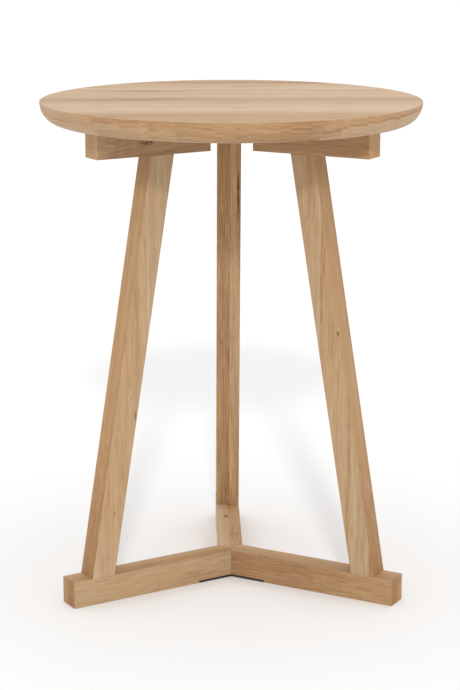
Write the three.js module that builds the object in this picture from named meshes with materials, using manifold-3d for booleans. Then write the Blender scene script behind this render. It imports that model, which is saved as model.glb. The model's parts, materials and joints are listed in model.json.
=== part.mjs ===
// Round side table: a fixed solid oak top on a three-armed oak frame.
// Millimetres, +Z up. The origin is on the floor, under the centre of the top.
// The frame has three equal arms. Each arm is drawn once in its own frame, with +X
// pointing outwards from the table's axis, and a group turns it to its place.

import * as THREE from "three";
import { mergeVertices } from "three/addons/utils/BufferGeometryUtils.js";
import Module from "manifold-3d";

const wasm = await Module();
wasm.setup();

// ---- Driving dimensions: the whole table ----
const TABLE_HEIGHT = 600;
const TOP_RADIUS = 230;
const TOP_THICKNESS = 25;
const RIM_UNDERCUT = 22; // how far the rim curves in between the top edge and the underside
const ARMS = { rear: 90, left: 210, right: 330 }; // degrees around +Z from +X

// ---- Driving dimensions: top boards ----
const BOARD_WIDTH = 80;
const FIRST_JOINT_Y = -136; // glue joint between the front board and the next one
const BOARD_COUNT = 6;
const GLUE_LINE = 0.3;

// ---- Driving dimensions: frame timber ----
const STOCK_WIDTH = 30; // across the arm, the same for every frame piece
const BEAM_HEIGHT = 33;
const BEAM_REACH = 230; // outer end of a base beam, from the table's axis
const BEARER_HEIGHT = 33;
const BEARER_REACH = 190.5;
const BEARER_INNER_END = 37.5; // the bearers stop short of the centre
const LEG_DEPTH = 30.6; // in the plane of the arm, square to the leg
const LEG_FOOT_RADIUS = 190; // leg's centreline where it stands on the beam
const LEG_HEAD_RADIUS = 103.5; // leg's centreline where it meets the bearer

// ---- Driving dimensions: hub plate ----
const PLATE_REACH = 55.5;
const PLATE_THICKNESS = 3;
const PLATE_SCREW_RADII = { inner: 26, outer: 43 };
const PLATE_SCREW_LENGTH = 22;
const PLATE_SCREW_RECESS = 0.2; // heads sit this far above the floor
const COUNTERSINK_RADIUS = 4.4;
const COUNTERSINK_DEPTH = 2.2;

// ---- Driving dimensions: screws and dowels ----
const SCREW_RADIUS = 2;
const SCREW_HEAD_RADIUS = 4;
const SCREW_HEAD_HEIGHT = 2;
const SCREW_POINT_LENGTH = 4;
const SCREW_RECESS_LENGTH = 4.4;
const SCREW_RECESS_WIDTH = 1;
const SCREW_RECESS_DEPTH = 1.4;
const TOP_SCREW_RADII = { inner: 60, outer: 162 };
const TOP_SCREW_LENGTH = 35;
const COUNTERBORE_RADIUS = 5;
const COUNTERBORE_DEPTH = 12;
const DOWEL_RADIUS = 4;
const DOWEL_LENGTH = 35;
const DOWEL_CHAMFER = 1;
const DOWEL_OFFSET = 7; // each side of the leg's centre plane
const CLEARANCE = 0.3; // round every screw and dowel, and at the ends of the dowels

// ---- Facets ----
const TOP_SEGMENTS = 96;
const RIM_STEPS = 8;
const BORE_SEGMENTS = 16;
const SMALL_SEGMENTS = 16;

// ---- Heights and lean that follow from the driving dimensions ----
const UNDERSIDE_Z = TABLE_HEIGHT - TOP_THICKNESS;
const LEG_HEAD_Z = UNDERSIDE_Z - BEARER_HEIGHT;
const LEG_FOOT_Z = BEAM_HEIGHT;
const LEAN = Math.atan2(LEG_FOOT_RADIUS - LEG_HEAD_RADIUS, LEG_HEAD_Z - LEG_FOOT_Z);
const LEG_CUT = LEG_DEPTH / Math.cos(LEAN); // the leg's depth along its level end cuts
const DOWEL_BORE_DEPTH = DOWEL_LENGTH / 2 + CLEARANCE;

// ---- Materials ----
function surface(color, roughness, metalness) {
  return new THREE.MeshStandardMaterial({ color, roughness, metalness });
}

const TOP_OAK = surface(0xd9b992, 0.55, 0);
const FRAME_OAK = surface(0xc09467, 0.6, 0);
const BEECH = surface(0xd8b588, 0.7, 0);
const BLACK_STEEL = surface(0x151515, 0.5, 0.4);
const ZINC = surface(0xb9bcbf, 0.35, 0.9);
const BLACK_OXIDE = surface(0x1c1c1c, 0.4, 0.7);

// ---- Solid tools: boolean cuts and joins of closed geometries ----
function solidOf(geometry) {
  const bare = geometry.clone();
  bare.deleteAttribute("normal");
  bare.deleteAttribute("uv");
  const merged = mergeVertices(bare, 1e-5);
  const triVerts = new Uint32Array(merged.index.array);
  const vertProperties = new Float32Array(merged.attributes.position.array);
  return new wasm.Manifold(new wasm.Mesh({ numProp: 3, vertProperties, triVerts }));
}

function geometryOf(solid) {
  const mesh = solid.getMesh();
  const geometry = new THREE.BufferGeometry();
  geometry.setAttribute("position", new THREE.BufferAttribute(new Float32Array(mesh.vertProperties), 3));
  geometry.setIndex(new THREE.BufferAttribute(new Uint32Array(mesh.triVerts), 1));
  const flat = geometry.toNonIndexed();
  flat.computeVertexNormals();
  return flat;
}

function cut(body, tools) {
  return geometryOf(tools.reduce((left, tool) => left.subtract(solidOf(tool)), solidOf(body)));
}

function common(a, b) {
  return geometryOf(solidOf(a).intersect(solidOf(b)));
}

// ---- Basic shapes, placed by their low and high limits ----
function block(x0, x1, y0, y1, z0, z1) {
  const box = new THREE.BoxGeometry(x1 - x0, y1 - y0, z1 - z0);
  return box.translate((x0 + x1) / 2, (y0 + y1) / 2, (z0 + z1) / 2);
}

// An upright bore tool with a bottom and a top radius.
function bore(x, y, z0, z1, radius, topRadius = radius) {
  const tool = new THREE.CylinderGeometry(topRadius, radius, z1 - z0, BORE_SEGMENTS);
  return tool.rotateX(Math.PI / 2).translate(x, y, (z0 + z1) / 2);
}

// An outline in plan, raised from z0 to z1.
function slab(points, z0, z1) {
  const shape = new THREE.Shape(points.map(([x, y]) => new THREE.Vector2(x, y)));
  return new THREE.ExtrudeGeometry(shape, { depth: z1 - z0, bevelEnabled: false }).translate(0, 0, z0);
}

// A turned shape from [radius, height] points, about the Z axis.
function turned(profile, segments) {
  const points = profile.map(([radius, height]) => new THREE.Vector2(radius, height));
  return new THREE.LatheGeometry(points, segments).rotateX(Math.PI / 2);
}

function named(name, geometry, material) {
  const mesh = new THREE.Mesh(geometry, material);
  mesh.name = name;
  return mesh;
}

// ---- Where the screws go up into the top, in the table's own frame ----
function topScrewPoints() {
  const points = [];
  for (const degrees of Object.values(ARMS)) {
    const angle = THREE.MathUtils.degToRad(degrees);
    for (const radius of Object.values(TOP_SCREW_RADII)) {
      points.push([radius * Math.cos(angle), radius * Math.sin(angle)]);
    }
  }
  return points;
}

// ---- Top: a disc whose rim is a quarter ellipse turning in under the top edge ----
function topDisc() {
  const flat = TOP_RADIUS - RIM_UNDERCUT;
  const profile = [[0, UNDERSIDE_Z]];
  for (let step = 0; step <= RIM_STEPS; step += 1) {
    const turn = ((1 - step / RIM_STEPS) * Math.PI) / 2;
    profile.push([flat + RIM_UNDERCUT * Math.cos(turn), TABLE_HEIGHT - TOP_THICKNESS * Math.sin(turn)]);
  }
  profile.push([0, TABLE_HEIGHT]);
  return turned(profile, TOP_SEGMENTS);
}

// Boards run along X and are numbered from front to back. The first and last are cut from wider boards.
function topBoards() {
  const disc = topDisc();
  const reach = TOP_RADIUS + 1;
  const screwTip = LEG_HEAD_Z + COUNTERBORE_DEPTH + TOP_SCREW_LENGTH;
  const pilots = topScrewPoints().map(([x, y]) => ({
    y,
    tool: bore(x, y, UNDERSIDE_Z - 1, screwTip + 1, SCREW_RADIUS + CLEARANCE),
  }));
  const boards = [];
  for (let i = 0; i < BOARD_COUNT; i += 1) {
    const front = i === 0 ? -reach : FIRST_JOINT_Y + (i - 1) * BOARD_WIDTH + GLUE_LINE / 2;
    const back = i === BOARD_COUNT - 1 ? reach : FIRST_JOINT_Y + i * BOARD_WIDTH - GLUE_LINE / 2;
    const board = common(disc, block(-reach, reach, front, back, UNDERSIDE_Z - 1, TABLE_HEIGHT + 1));
    const holes = pilots.filter(({ y }) => y > front && y < back).map(({ tool }) => tool);
    boards.push(named(`top_board_${i + 1}`, cut(board, holes), TOP_OAK));
  }
  return boards;
}

// ---- Timber of one arm, in the arm's frame ----
function dowelBores(radius, z0, z1) {
  return [-DOWEL_OFFSET, DOWEL_OFFSET].map((y) => bore(radius, y, z0, z1, DOWEL_RADIUS + CLEARANCE));
}

// A base beam: mitred to a point at the hub, rebated below for the hub plate.
function baseBeam() {
  const half = STOCK_WIDTH / 2;
  const mitre = Math.PI / 3;
  const setback = GLUE_LINE / 2 / Math.sin(mitre);
  const shoulder = setback + half / Math.tan(mitre);
  const plan = [
    [setback, 0],
    [shoulder, -half],
    [BEAM_REACH, -half],
    [BEAM_REACH, half],
    [shoulder, half],
  ];
  const rebate = block(-1, PLATE_REACH + CLEARANCE, -half - 1, half + 1, -1, PLATE_THICKNESS);
  const pilotTop = PLATE_SCREW_RECESS + PLATE_SCREW_LENGTH + 1;
  const pilots = Object.values(PLATE_SCREW_RADII).map((radius) =>
    bore(radius, 0, PLATE_THICKNESS - 1, pilotTop, SCREW_RADIUS + CLEARANCE),
  );
  const dowels = dowelBores(LEG_FOOT_RADIUS, BEAM_HEIGHT - DOWEL_BORE_DEPTH, BEAM_HEIGHT + 1);
  return cut(slab(plan, 0, BEAM_HEIGHT), [rebate, ...pilots, ...dowels]);
}

// A straight leg, leaning in towards the axis as it rises, with level ends.
function leg() {
  const half = LEG_CUT / 2;
  const side = new THREE.Shape([
    new THREE.Vector2(LEG_FOOT_RADIUS - half, LEG_FOOT_Z),
    new THREE.Vector2(LEG_FOOT_RADIUS + half, LEG_FOOT_Z),
    new THREE.Vector2(LEG_HEAD_RADIUS + half, LEG_HEAD_Z),
    new THREE.Vector2(LEG_HEAD_RADIUS - half, LEG_HEAD_Z),
  ]);
  const blank = new THREE.ExtrudeGeometry(side, { depth: STOCK_WIDTH, bevelEnabled: false });
  blank.rotateX(Math.PI / 2).translate(0, STOCK_WIDTH / 2, 0);
  const foot = dowelBores(LEG_FOOT_RADIUS, LEG_FOOT_Z - 1, LEG_FOOT_Z + DOWEL_BORE_DEPTH);
  const head = dowelBores(LEG_HEAD_RADIUS, LEG_HEAD_Z - DOWEL_BORE_DEPTH, LEG_HEAD_Z + 1);
  return cut(blank, [...foot, ...head]);
}

// A bearer under the top, with counterbored screw holes and bores for the leg's dowels.
function bearer() {
  const half = STOCK_WIDTH / 2;
  const blank = block(BEARER_INNER_END, BEARER_REACH, -half, half, LEG_HEAD_Z, UNDERSIDE_Z);
  const holes = Object.values(TOP_SCREW_RADII).flatMap((radius) => [
    bore(radius, 0, LEG_HEAD_Z - 1, LEG_HEAD_Z + COUNTERBORE_DEPTH, COUNTERBORE_RADIUS),
    bore(radius, 0, LEG_HEAD_Z, UNDERSIDE_Z + 1, SCREW_RADIUS + CLEARANCE),
  ]);
  const dowels = dowelBores(LEG_HEAD_RADIUS, LEG_HEAD_Z - 1, LEG_HEAD_Z + DOWEL_BORE_DEPTH);
  return cut(blank, [...holes, ...dowels]);
}

// ---- Hardware ----
// The two crossed slots of a screw head whose outer face is at z.
function crossRecess(z) {
  const long = SCREW_RECESS_LENGTH / 2;
  const wide = SCREW_RECESS_WIDTH / 2;
  const deep = z + SCREW_RECESS_DEPTH;
  return [block(-long, long, -wide, wide, z - 1, deep), block(-wide, wide, -long, long, z - 1, deep)];
}

// A screw standing on its head at z = 0, pointing up. underHead is the head's radius at its inner side.
function screw(length, underHead) {
  const profile = [
    [0, 0],
    [SCREW_HEAD_RADIUS, 0],
    [underHead, SCREW_HEAD_HEIGHT - CLEARANCE],
    [SCREW_RADIUS, SCREW_HEAD_HEIGHT - CLEARANCE],
    [SCREW_RADIUS, length - SCREW_POINT_LENGTH],
    [0, length],
  ];
  return cut(turned(profile, SMALL_SEGMENTS), crossRecess(0));
}

const countersunkScrew = () => screw(PLATE_SCREW_LENGTH, SCREW_RADIUS + 0.2);
const panScrew = () => screw(TOP_SCREW_LENGTH + SCREW_HEAD_HEIGHT - CLEARANCE, SCREW_HEAD_RADIUS * 0.98);

// A dowel with chamfered ends, centred on z = 0.
function dowel() {
  const end = DOWEL_LENGTH / 2;
  const profile = [
    [0, -end],
    [DOWEL_RADIUS - DOWEL_CHAMFER, -end],
    [DOWEL_RADIUS, DOWEL_CHAMFER - end],
    [DOWEL_RADIUS, end - DOWEL_CHAMFER],
    [DOWEL_RADIUS - DOWEL_CHAMFER, end],
    [0, end],
  ];
  return turned(profile, SMALL_SEGMENTS);
}

// The three-armed plate let into the undersides of the beams, flush with their side faces.
// Each countersink tool is a cone as deep below the plate as above, so its mean radius is the mouth's.
function hubPlate() {
  const half = STOCK_WIDTH / 2;
  const notch = half / Math.sin(Math.PI / 3);
  const shank = SCREW_RADIUS + CLEARANCE;
  const plan = [];
  const sinks = [];
  for (const degrees of Object.values(ARMS)) {
    const angle = THREE.MathUtils.degToRad(degrees);
    const along = (r, across) => [
      r * Math.cos(angle) - across * Math.sin(angle),
      r * Math.sin(angle) + across * Math.cos(angle),
    ];
    const next = angle + Math.PI / 3;
    plan.push(along(PLATE_REACH, -half), along(PLATE_REACH, half));
    plan.push([notch * Math.cos(next), notch * Math.sin(next)]);
    for (const radius of Object.values(PLATE_SCREW_RADII)) {
      const [x, y] = along(radius, 0);
      sinks.push(bore(x, y, -COUNTERSINK_DEPTH, COUNTERSINK_DEPTH, 2 * COUNTERSINK_RADIUS - shank, shank));
      sinks.push(bore(x, y, -1, PLATE_THICKNESS + 1, shank));
    }
  }
  return cut(slab(plan, 0, PLATE_THICKNESS), sinks);
}

// ---- One arm: beam, leg, bearer, dowels and screws, turned to its angle ----
function arm(side, degrees) {
  const group = new THREE.Group();
  group.rotation.z = THREE.MathUtils.degToRad(degrees);
  group.add(named(`base_beam_${side}`, baseBeam(), FRAME_OAK));
  group.add(named(`leg_${side}`, leg(), FRAME_OAK));
  group.add(named(`bearer_${side}`, bearer(), FRAME_OAK));
  const place = (name, geometry, material, x, y, z) => {
    const piece = named(name, geometry, material);
    piece.position.set(x, y, z);
    group.add(piece);
  };
  for (const [end, y] of [["a", -DOWEL_OFFSET], ["b", DOWEL_OFFSET]]) {
    place(`foot_dowel_${side}_${end}`, dowel(), BEECH, LEG_FOOT_RADIUS, y, LEG_FOOT_Z);
    place(`head_dowel_${side}_${end}`, dowel(), BEECH, LEG_HEAD_RADIUS, y, LEG_HEAD_Z);
  }
  for (const [spot, radius] of Object.entries(PLATE_SCREW_RADII)) {
    place(`plate_screw_${side}_${spot}`, countersunkScrew(), BLACK_OXIDE, radius, 0, PLATE_SCREW_RECESS);
  }
  const headZ = LEG_HEAD_Z + COUNTERBORE_DEPTH - SCREW_HEAD_HEIGHT;
  for (const [spot, radius] of Object.entries(TOP_SCREW_RADII)) {
    place(`top_screw_${side}_${spot}`, panScrew(), ZINC, radius, 0, headZ);
  }
  return group;
}

const table = new THREE.Group();
table.add(...topBoards());
for (const [side, degrees] of Object.entries(ARMS)) {
  table.add(arm(side, degrees));
}
table.add(named("hub_plate", hubPlate(), BLACK_STEEL));

export default table;
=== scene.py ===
"""Looks for the round oak side table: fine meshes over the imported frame, materials, camera and light.

Everything is in metres in the row frame: +Z up, +Y towards the rear arm. A frame timber is drawn once, in an
arm's own coordinates (X outwards along the arm, Y across it, Z up), and turned to each arm's angle.
"""
import json
import math

import bmesh
import bpy
from mathutils import Euler, Matrix, Vector

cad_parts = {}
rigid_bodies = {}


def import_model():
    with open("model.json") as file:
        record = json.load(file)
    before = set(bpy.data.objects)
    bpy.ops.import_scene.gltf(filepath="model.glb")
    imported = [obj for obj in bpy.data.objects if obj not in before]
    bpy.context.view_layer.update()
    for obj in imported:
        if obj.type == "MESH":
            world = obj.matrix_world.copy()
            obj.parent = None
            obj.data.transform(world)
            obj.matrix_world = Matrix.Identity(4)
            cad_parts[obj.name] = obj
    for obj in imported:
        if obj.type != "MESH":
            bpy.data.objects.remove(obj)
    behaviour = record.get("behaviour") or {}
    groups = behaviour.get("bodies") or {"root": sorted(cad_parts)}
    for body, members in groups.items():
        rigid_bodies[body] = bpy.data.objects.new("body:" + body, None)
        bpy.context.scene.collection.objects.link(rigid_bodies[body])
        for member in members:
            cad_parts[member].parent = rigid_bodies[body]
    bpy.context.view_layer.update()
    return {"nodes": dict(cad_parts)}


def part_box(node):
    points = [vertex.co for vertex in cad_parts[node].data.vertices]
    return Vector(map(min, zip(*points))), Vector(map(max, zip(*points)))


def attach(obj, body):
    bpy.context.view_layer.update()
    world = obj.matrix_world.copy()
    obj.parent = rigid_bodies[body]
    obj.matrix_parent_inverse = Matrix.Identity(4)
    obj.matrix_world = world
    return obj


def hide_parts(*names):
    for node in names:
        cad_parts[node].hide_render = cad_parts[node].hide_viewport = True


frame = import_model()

MM = 0.001

# ---- Sizes read from the frame; the rear arm points along +Y, so its Y is the distance from the axis ----
ARMS = {"rear": 90, "left": 210, "right": 330}
BOARDS = [f"top_board_{i}" for i in range(1, 7)]
TOP_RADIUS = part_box("top_board_3")[1].x
TOP_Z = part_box("top_board_1")[1].z
UNDERSIDE_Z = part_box("top_board_1")[0].z
HALF_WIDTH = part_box("leg_rear")[1].x
BEAM_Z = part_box("base_beam_rear")[1].z
BEAM_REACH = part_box("base_beam_rear")[1].y
BEARER_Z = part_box("bearer_rear")[0].z
BEARER_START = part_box("bearer_rear")[0].y
BEARER_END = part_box("bearer_rear")[1].y
PLATE_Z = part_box("hub_plate")[1].z
PLATE_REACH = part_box("hub_plate")[1].y

# ---- Fine detail that the frame leaves out ----
RIM_UNDERCUT = 22.2 * MM
RIM_SEGMENTS = 288
RIM_STEPS = 18
ARRIS_STEPS = 4
TOP_ARRIS = 0.5 * MM
EDGE_ARRIS = 0.7 * MM
RAIL_END_ARRIS = 0.4 * MM
LEG_END_ARRIS = 0.15 * MM
PLATE_ARRIS = 0.15 * MM
BORE_FLARE = 0.4 * MM
GLUE_GAP = 0.04 * MM  # what a glue line shows as
FRAME_GAP = 0.3 * MM  # what the frame leaves between two glued pieces
FITTING_GAP = 0.1 * MM  # round the plate in its rebate
BORE_RADIUS = 5 * MM
BORE_SEGMENTS = 48
SAME_PLACE = 0.001 * MM

# ---- Screws ----
SCREW_LENGTH = {"plate_screw": 22 * MM, "top_screw": 36.7 * MM}
UNDER_HEAD_RADIUS = {"plate_screw": 2.2 * MM, "top_screw": 3.9 * MM}
HEAD_RADIUS = 3.95 * MM
HEAD_HEIGHT = 1.9 * MM
HEAD_ARRIS = 0.25 * MM
SHANK_RADIUS = 1.95 * MM
POINT_LENGTH = 4 * MM
POINT_STEPS = 6
THREAD_PITCH = 1.8 * MM
THREAD_START = 6 * MM
THREAD_STEP = 0.3 * MM
THREAD_ROOT = 0.72  # the thread's root radius over its crest radius
SCREW_SEGMENTS = 28
RECESS_HALF = (2.1 * MM, 0.45 * MM)  # half-length and half-width of one arm of the cross
RECESS_DEPTH = 1.3 * MM
RECESS_TAPER = 0.45
SINK_MOUTH = 5.3 * MM
SINK_RADIUS = 2.2 * MM
SINK_DEPTH = 2.1 * MM
FRAME_HEAD_HEIGHT = 2 * MM  # of a screw's head in the frame


def radii_at(node, z):
    """The inner and outer distance from the axis of a rear-arm node at height z."""
    found = [v.co.y for v in frame["nodes"][node].data.vertices if abs(v.co.z - z) < 0.01 * MM]
    return min(found), max(found)


def middle_of(node):
    """The middle of a node's box, seen from above."""
    low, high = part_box(node)
    return (low.x + high.x) / 2, (low.y + high.y) / 2


# ---- Meshes ----
def object_of(bm, name, matrix=None):
    mesh = bpy.data.meshes.new(name)
    bmesh.ops.recalc_face_normals(bm, faces=bm.faces)
    bm.to_mesh(mesh)
    bm.free()
    made = bpy.data.objects.new(name, mesh)
    bpy.context.scene.collection.objects.link(made)
    if matrix is not None:
        made.matrix_world = matrix
    return made


def prism(outline, axis, low, high):
    """A bmesh prism: outline's points are in the two other axes' order, swept along axis from low to high."""
    bm = bmesh.new()
    place = {"y": lambda a, b, h: (a, h, b), "z": lambda a, b, h: (a, b, h)}[axis]
    rings = [[bm.verts.new(place(a, b, h)) for a, b in outline] for h in (low, high)]
    count = len(outline)
    bm.faces.new(rings[0])
    bm.faces.new(rings[1])
    for i in range(count):
        j = (i + 1) % count
        bm.faces.new((rings[0][i], rings[0][j], rings[1][j], rings[1][i]))
    bmesh.ops.recalc_face_normals(bm, faces=bm.faces)
    return bm


def ease(bm, wanted, width, segments):
    """Rounds the edges that wanted(edge) picks."""
    edges = [e for e in bm.edges if wanted(e)]
    shape = dict(offset=width, offset_type="OFFSET", segments=segments, profile=0.5)
    bmesh.ops.bevel(bm, geom=edges, affect="EDGES", clamp_overlap=True, **shape)


def along(direction):
    """Picks edges that run along a direction."""
    unit = Vector(direction).normalized()
    return lambda e: abs((e.verts[1].co - e.verts[0].co).normalized().dot(unit)) > 0.999


def at_x(*places):
    """Picks edges that lie wholly at one of the places along X."""
    return lambda e: any(all(abs(v.co.x - place) < SAME_PLACE for v in e.verts) for place in places)


def turned_mesh(profile, segments, radius_of=None):
    """A bmesh turned about Z from (radius, height) points, closed at both ends; radius_of bends it."""
    bm = bmesh.new()
    rings = []
    for radius, height in profile:
        if radius == 0:
            rings.append([bm.verts.new((0, 0, height))])
            continue
        ring = []
        for i in range(segments):
            angle = 2 * math.pi * i / segments
            r = radius_of(radius, height, angle) if radius_of else radius
            ring.append(bm.verts.new((r * math.cos(angle), r * math.sin(angle), height)))
        rings.append(ring)
    for low, high in zip(rings, rings[1:]):
        for i in range(segments):
            j = (i + 1) % segments
            if len(low) == 1:
                bm.faces.new((low[0], high[j], high[i]))
            elif len(high) == 1:
                bm.faces.new((low[i], low[j], high[0]))
            else:
                bm.faces.new((low[i], low[j], high[j], high[i]))
    return bm


def cut(piece, tools):
    """Cuts the tools out of the piece's mesh and removes them."""
    for tool in tools:
        step = piece.modifiers.new("cut", "BOOLEAN")
        step.operation = "DIFFERENCE"
        step.solver = "EXACT"
        step.object = tool
        bpy.context.view_layer.objects.active = piece
        bpy.ops.object.modifier_apply(modifier=step.name)
        bpy.data.objects.remove(tool)


def shade(piece, degrees=35):
    """Smooth shading across the eased edges, with the large faces kept flat."""
    piece.data.shade_smooth()
    piece.data.set_sharp_from_angle(angle=math.radians(degrees))
    weighted = piece.modifiers.new("weighted", "WEIGHTED_NORMAL")
    weighted.keep_sharp = True
    weighted.weight = 90


def place(piece, node, material, slot):
    """Puts a finished piece on the body, in its node's place."""
    if material is not None:
        piece.data.materials.clear()
        piece.data.materials.append(material)
    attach(piece, "root")
    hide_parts(node)
    return piece


def arm_matrix(side):
    return Matrix.Rotation(math.radians(ARMS[side]), 4, "Z")


# ---- Node helpers ----
class Tree:
    """A material's node tree, with short calls for the nodes used here."""

    def __init__(self, name):
        self.material = bpy.data.materials.new(name)
        self.material.use_nodes = True
        self.nodes = self.material.node_tree.nodes
        self.links = self.material.node_tree.links
        self.shader = self.nodes["Principled BSDF"]

    def put(self, socket, value):
        if isinstance(value, bpy.types.NodeSocket):
            self.links.new(value, socket)
        elif value is not None:
            socket.default_value = value

    def math(self, operation, a, b=None):
        node = self.nodes.new("ShaderNodeMath")
        node.operation = operation
        self.put(node.inputs[0], a)
        self.put(node.inputs[1], b)
        return node.outputs[0]

    def vector(self, operation, a, b=None):
        node = self.nodes.new("ShaderNodeVectorMath")
        node.operation = operation
        self.put(node.inputs[0], a)
        self.put(node.inputs[1], b)
        return node.outputs["Value" if operation == "LENGTH" else "Vector"]

    def parts(self, vector):
        """A vector's X, Y and Z, or a colour's channels."""
        node = self.nodes.new("ShaderNodeSeparateXYZ")
        self.put(node.inputs[0], vector)
        return node.outputs

    def object_coordinates(self):
        return self.nodes.new("ShaderNodeTexCoord").outputs["Object"]

    def mapped(self, vector, location=(0, 0, 0), rotation=(0, 0, 0), scale=(1, 1, 1)):
        node = self.nodes.new("ShaderNodeMapping")
        self.put(node.inputs["Vector"], vector)
        node.inputs["Location"].default_value = location
        node.inputs["Rotation"].default_value = [math.radians(a) for a in rotation]
        node.inputs["Scale"].default_value = scale
        return node.outputs[0]

    def noise(self, vector, scale=(1, 1, 1), detail=2.0, roughness=0.5, offset=(0, 0, 0)):
        """Noise from about -1 to 1, with scale in repeats a metre along each axis."""
        node = self.nodes.new("ShaderNodeTexNoise")
        node.noise_dimensions = "3D"
        node.normalize = False
        self.put(node.inputs["Vector"], self.mapped(vector, offset, (0, 0, 0), scale))
        node.inputs["Scale"].default_value = 1.0
        node.inputs["Detail"].default_value = detail
        node.inputs["Roughness"].default_value = roughness
        return node.outputs[0]

    def ramp(self, value, stops):
        """stops are (position, colour or grey) pairs."""
        node = self.nodes.new("ShaderNodeValToRGB")
        elements = node.color_ramp.elements
        while len(elements) < len(stops):
            elements.new(0.5)
        for element, (position, colour) in zip(elements, stops):
            element.position = position
            element.color = (*colour, 1) if hasattr(colour, "__len__") else (colour, colour, colour, 1)
        self.put(node.inputs["Fac"], value)
        return node.outputs["Color"]

    def vector_of(self, x, y, z):
        node = self.nodes.new("ShaderNodeCombineXYZ")
        for socket, value in zip(node.inputs, (x, y, z)):
            self.put(socket, value)
        return node.outputs[0]

    def random(self, value):
        """A number from 0 to 1 that is always the same for the same value."""
        node = self.nodes.new("ShaderNodeTexWhiteNoise")
        node.noise_dimensions = "1D"
        self.put(node.inputs["W"], value)
        return node.outputs["Value"]

    def fade(self, value, low, high, start=0.0, end=1.0, smooth=True):
        """Goes from start to end as value goes from low to high, and stays there past them."""
        node = self.nodes.new("ShaderNodeMapRange")
        node.interpolation_type = "SMOOTHSTEP" if smooth else "LINEAR"
        self.put(node.inputs["Value"], value)
        for name, number in (("From Min", low), ("From Max", high), ("To Min", start), ("To Max", end)):
            node.inputs[name].default_value = number
        return node.outputs["Result"]

    def mix(self, share, a, b, blend="MIX"):
        """Mixes two colours, each a socket or (red, green, blue)."""
        node = self.nodes.new("ShaderNodeMix")
        node.data_type = "RGBA"
        node.blend_type = blend
        self.put(node.inputs["Factor"], share)
        for name, value in (("A", a), ("B", b)):
            socket = next(s for s in node.inputs if s.name == name and s.type == "RGBA")
            self.put(socket, (*value, 1) if isinstance(value, tuple) and len(value) == 3 else value)
        return next(s for s in node.outputs if s.type == "RGBA")

    def add(self, *values):
        total = values[0]
        for value in values[1:]:
            total = self.math("ADD", total, value)
        return total

    def scaled(self, value, amount):
        return self.math("MULTIPLY", value, amount)

    def bump(self, height, distance, strength):
        node = self.nodes.new("ShaderNodeBump")
        node.inputs["Distance"].default_value = distance
        node.inputs["Strength"].default_value = strength
        self.put(node.inputs["Height"], height)
        return node.outputs[0]

    def finish(self, colour, roughness, normal=None, **numbers):
        """Feeds the shader. numbers names further sockets, with _ for a space."""
        self.put(self.shader.inputs["Base Color"], colour)
        self.put(self.shader.inputs["Roughness"], roughness)
        self.put(self.shader.inputs["Normal"], normal)
        for name, value in numbers.items():
            self.shader.inputs[name.replace("_", " ")].default_value = value
        return self.material


# ---- Oak ----
# Tone runs from 0, a knot's black-brown, to 1, pale sapwood; 0.5 is the table's usual oak.
OAK = [
    (0.00, (0.110, 0.053, 0.028)),
    (0.25, (0.296, 0.164, 0.080)),
    (0.40, (0.396, 0.244, 0.128)),
    (0.50, (0.469, 0.3085, 0.168)),
    (0.60, (0.515, 0.354, 0.206)),
    (0.75, (0.576, 0.420, 0.264)),
    (1.00, (0.658, 0.520, 0.363)),
]
GOLDEN = (1.03, 0.917, 0.79)
GREYISH = (0.965, 1.05, 1.18)
RING_WIDTH = 2.8 * MM


class Spot:
    """A knot, burr, streak or patch of painted shade: an ellipsoid at centre with half-sizes size, in mm
    along the piece's own axes.

    It shifts the tone and the warmth in its middle, and bend makes the growth rings flow round it.
    """

    def __init__(self, centre, size, tone, warm=0.0, bend=0.0):
        self.centre = Vector(centre) * MM
        self.size = Vector(size) * MM
        self.tone = tone
        self.warm = warm
        self.bend = bend


class Bands:
    """Tone and warmth across the grain: (place in mm, tone, warmth) stops along Y, axis 1, or Z, axis 2."""

    def __init__(self, axis, stops):
        self.axis = axis
        self.stops = stops

    def between(self, low, high):
        """The bands of one board, which lies from low to high."""
        return Bands(self.axis, [stop for stop in self.stops if low - 0.5 < stop[0] < high + 0.5])

    def nodes(self, tree, log, waver):
        place = tree.add(tree.parts(log)[self.axis], tree.scaled(waver, 1.2 * MM))
        first, last = self.stops[0][0] * MM, self.stops[-1][0] * MM
        share = tree.fade(place, first, last, smooth=False)
        colours = [((p * MM - first) / (last - first), (0.5 + t, 0.5 + w, 0.5)) for p, t, w in self.stops]
        tone, warm, _ = tree.parts(tree.ramp(share, colours))
        return tree.math("SUBTRACT", tone, 0.5), tree.math("SUBTRACT", warm, 0.5)


def spot_nodes(tree, log, turn, spots, ragged):
    """What the spots add to the tone, to the warmth and to the ring count."""
    tone, warm, bend = [], [], []
    for spot in spots:
        offset = tree.vector("SUBTRACT", log, tuple(turn @ spot.centre))
        reach = tree.vector("LENGTH", tree.vector("DIVIDE", offset, tuple(spot.size)))
        weight = tree.fade(tree.add(reach, tree.scaled(ragged, 0.35)), 0.25, 1.0, 1.0, 0.0)
        tone.append(tree.scaled(weight, spot.tone))
        if spot.warm:
            warm.append(tree.scaled(weight, spot.warm))
        if spot.bend:
            bend.append(tree.scaled(tree.fade(reach, 0.0, 3.5, 1.0, 0.0), spot.bend))
    return tone, warm, bend


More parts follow.
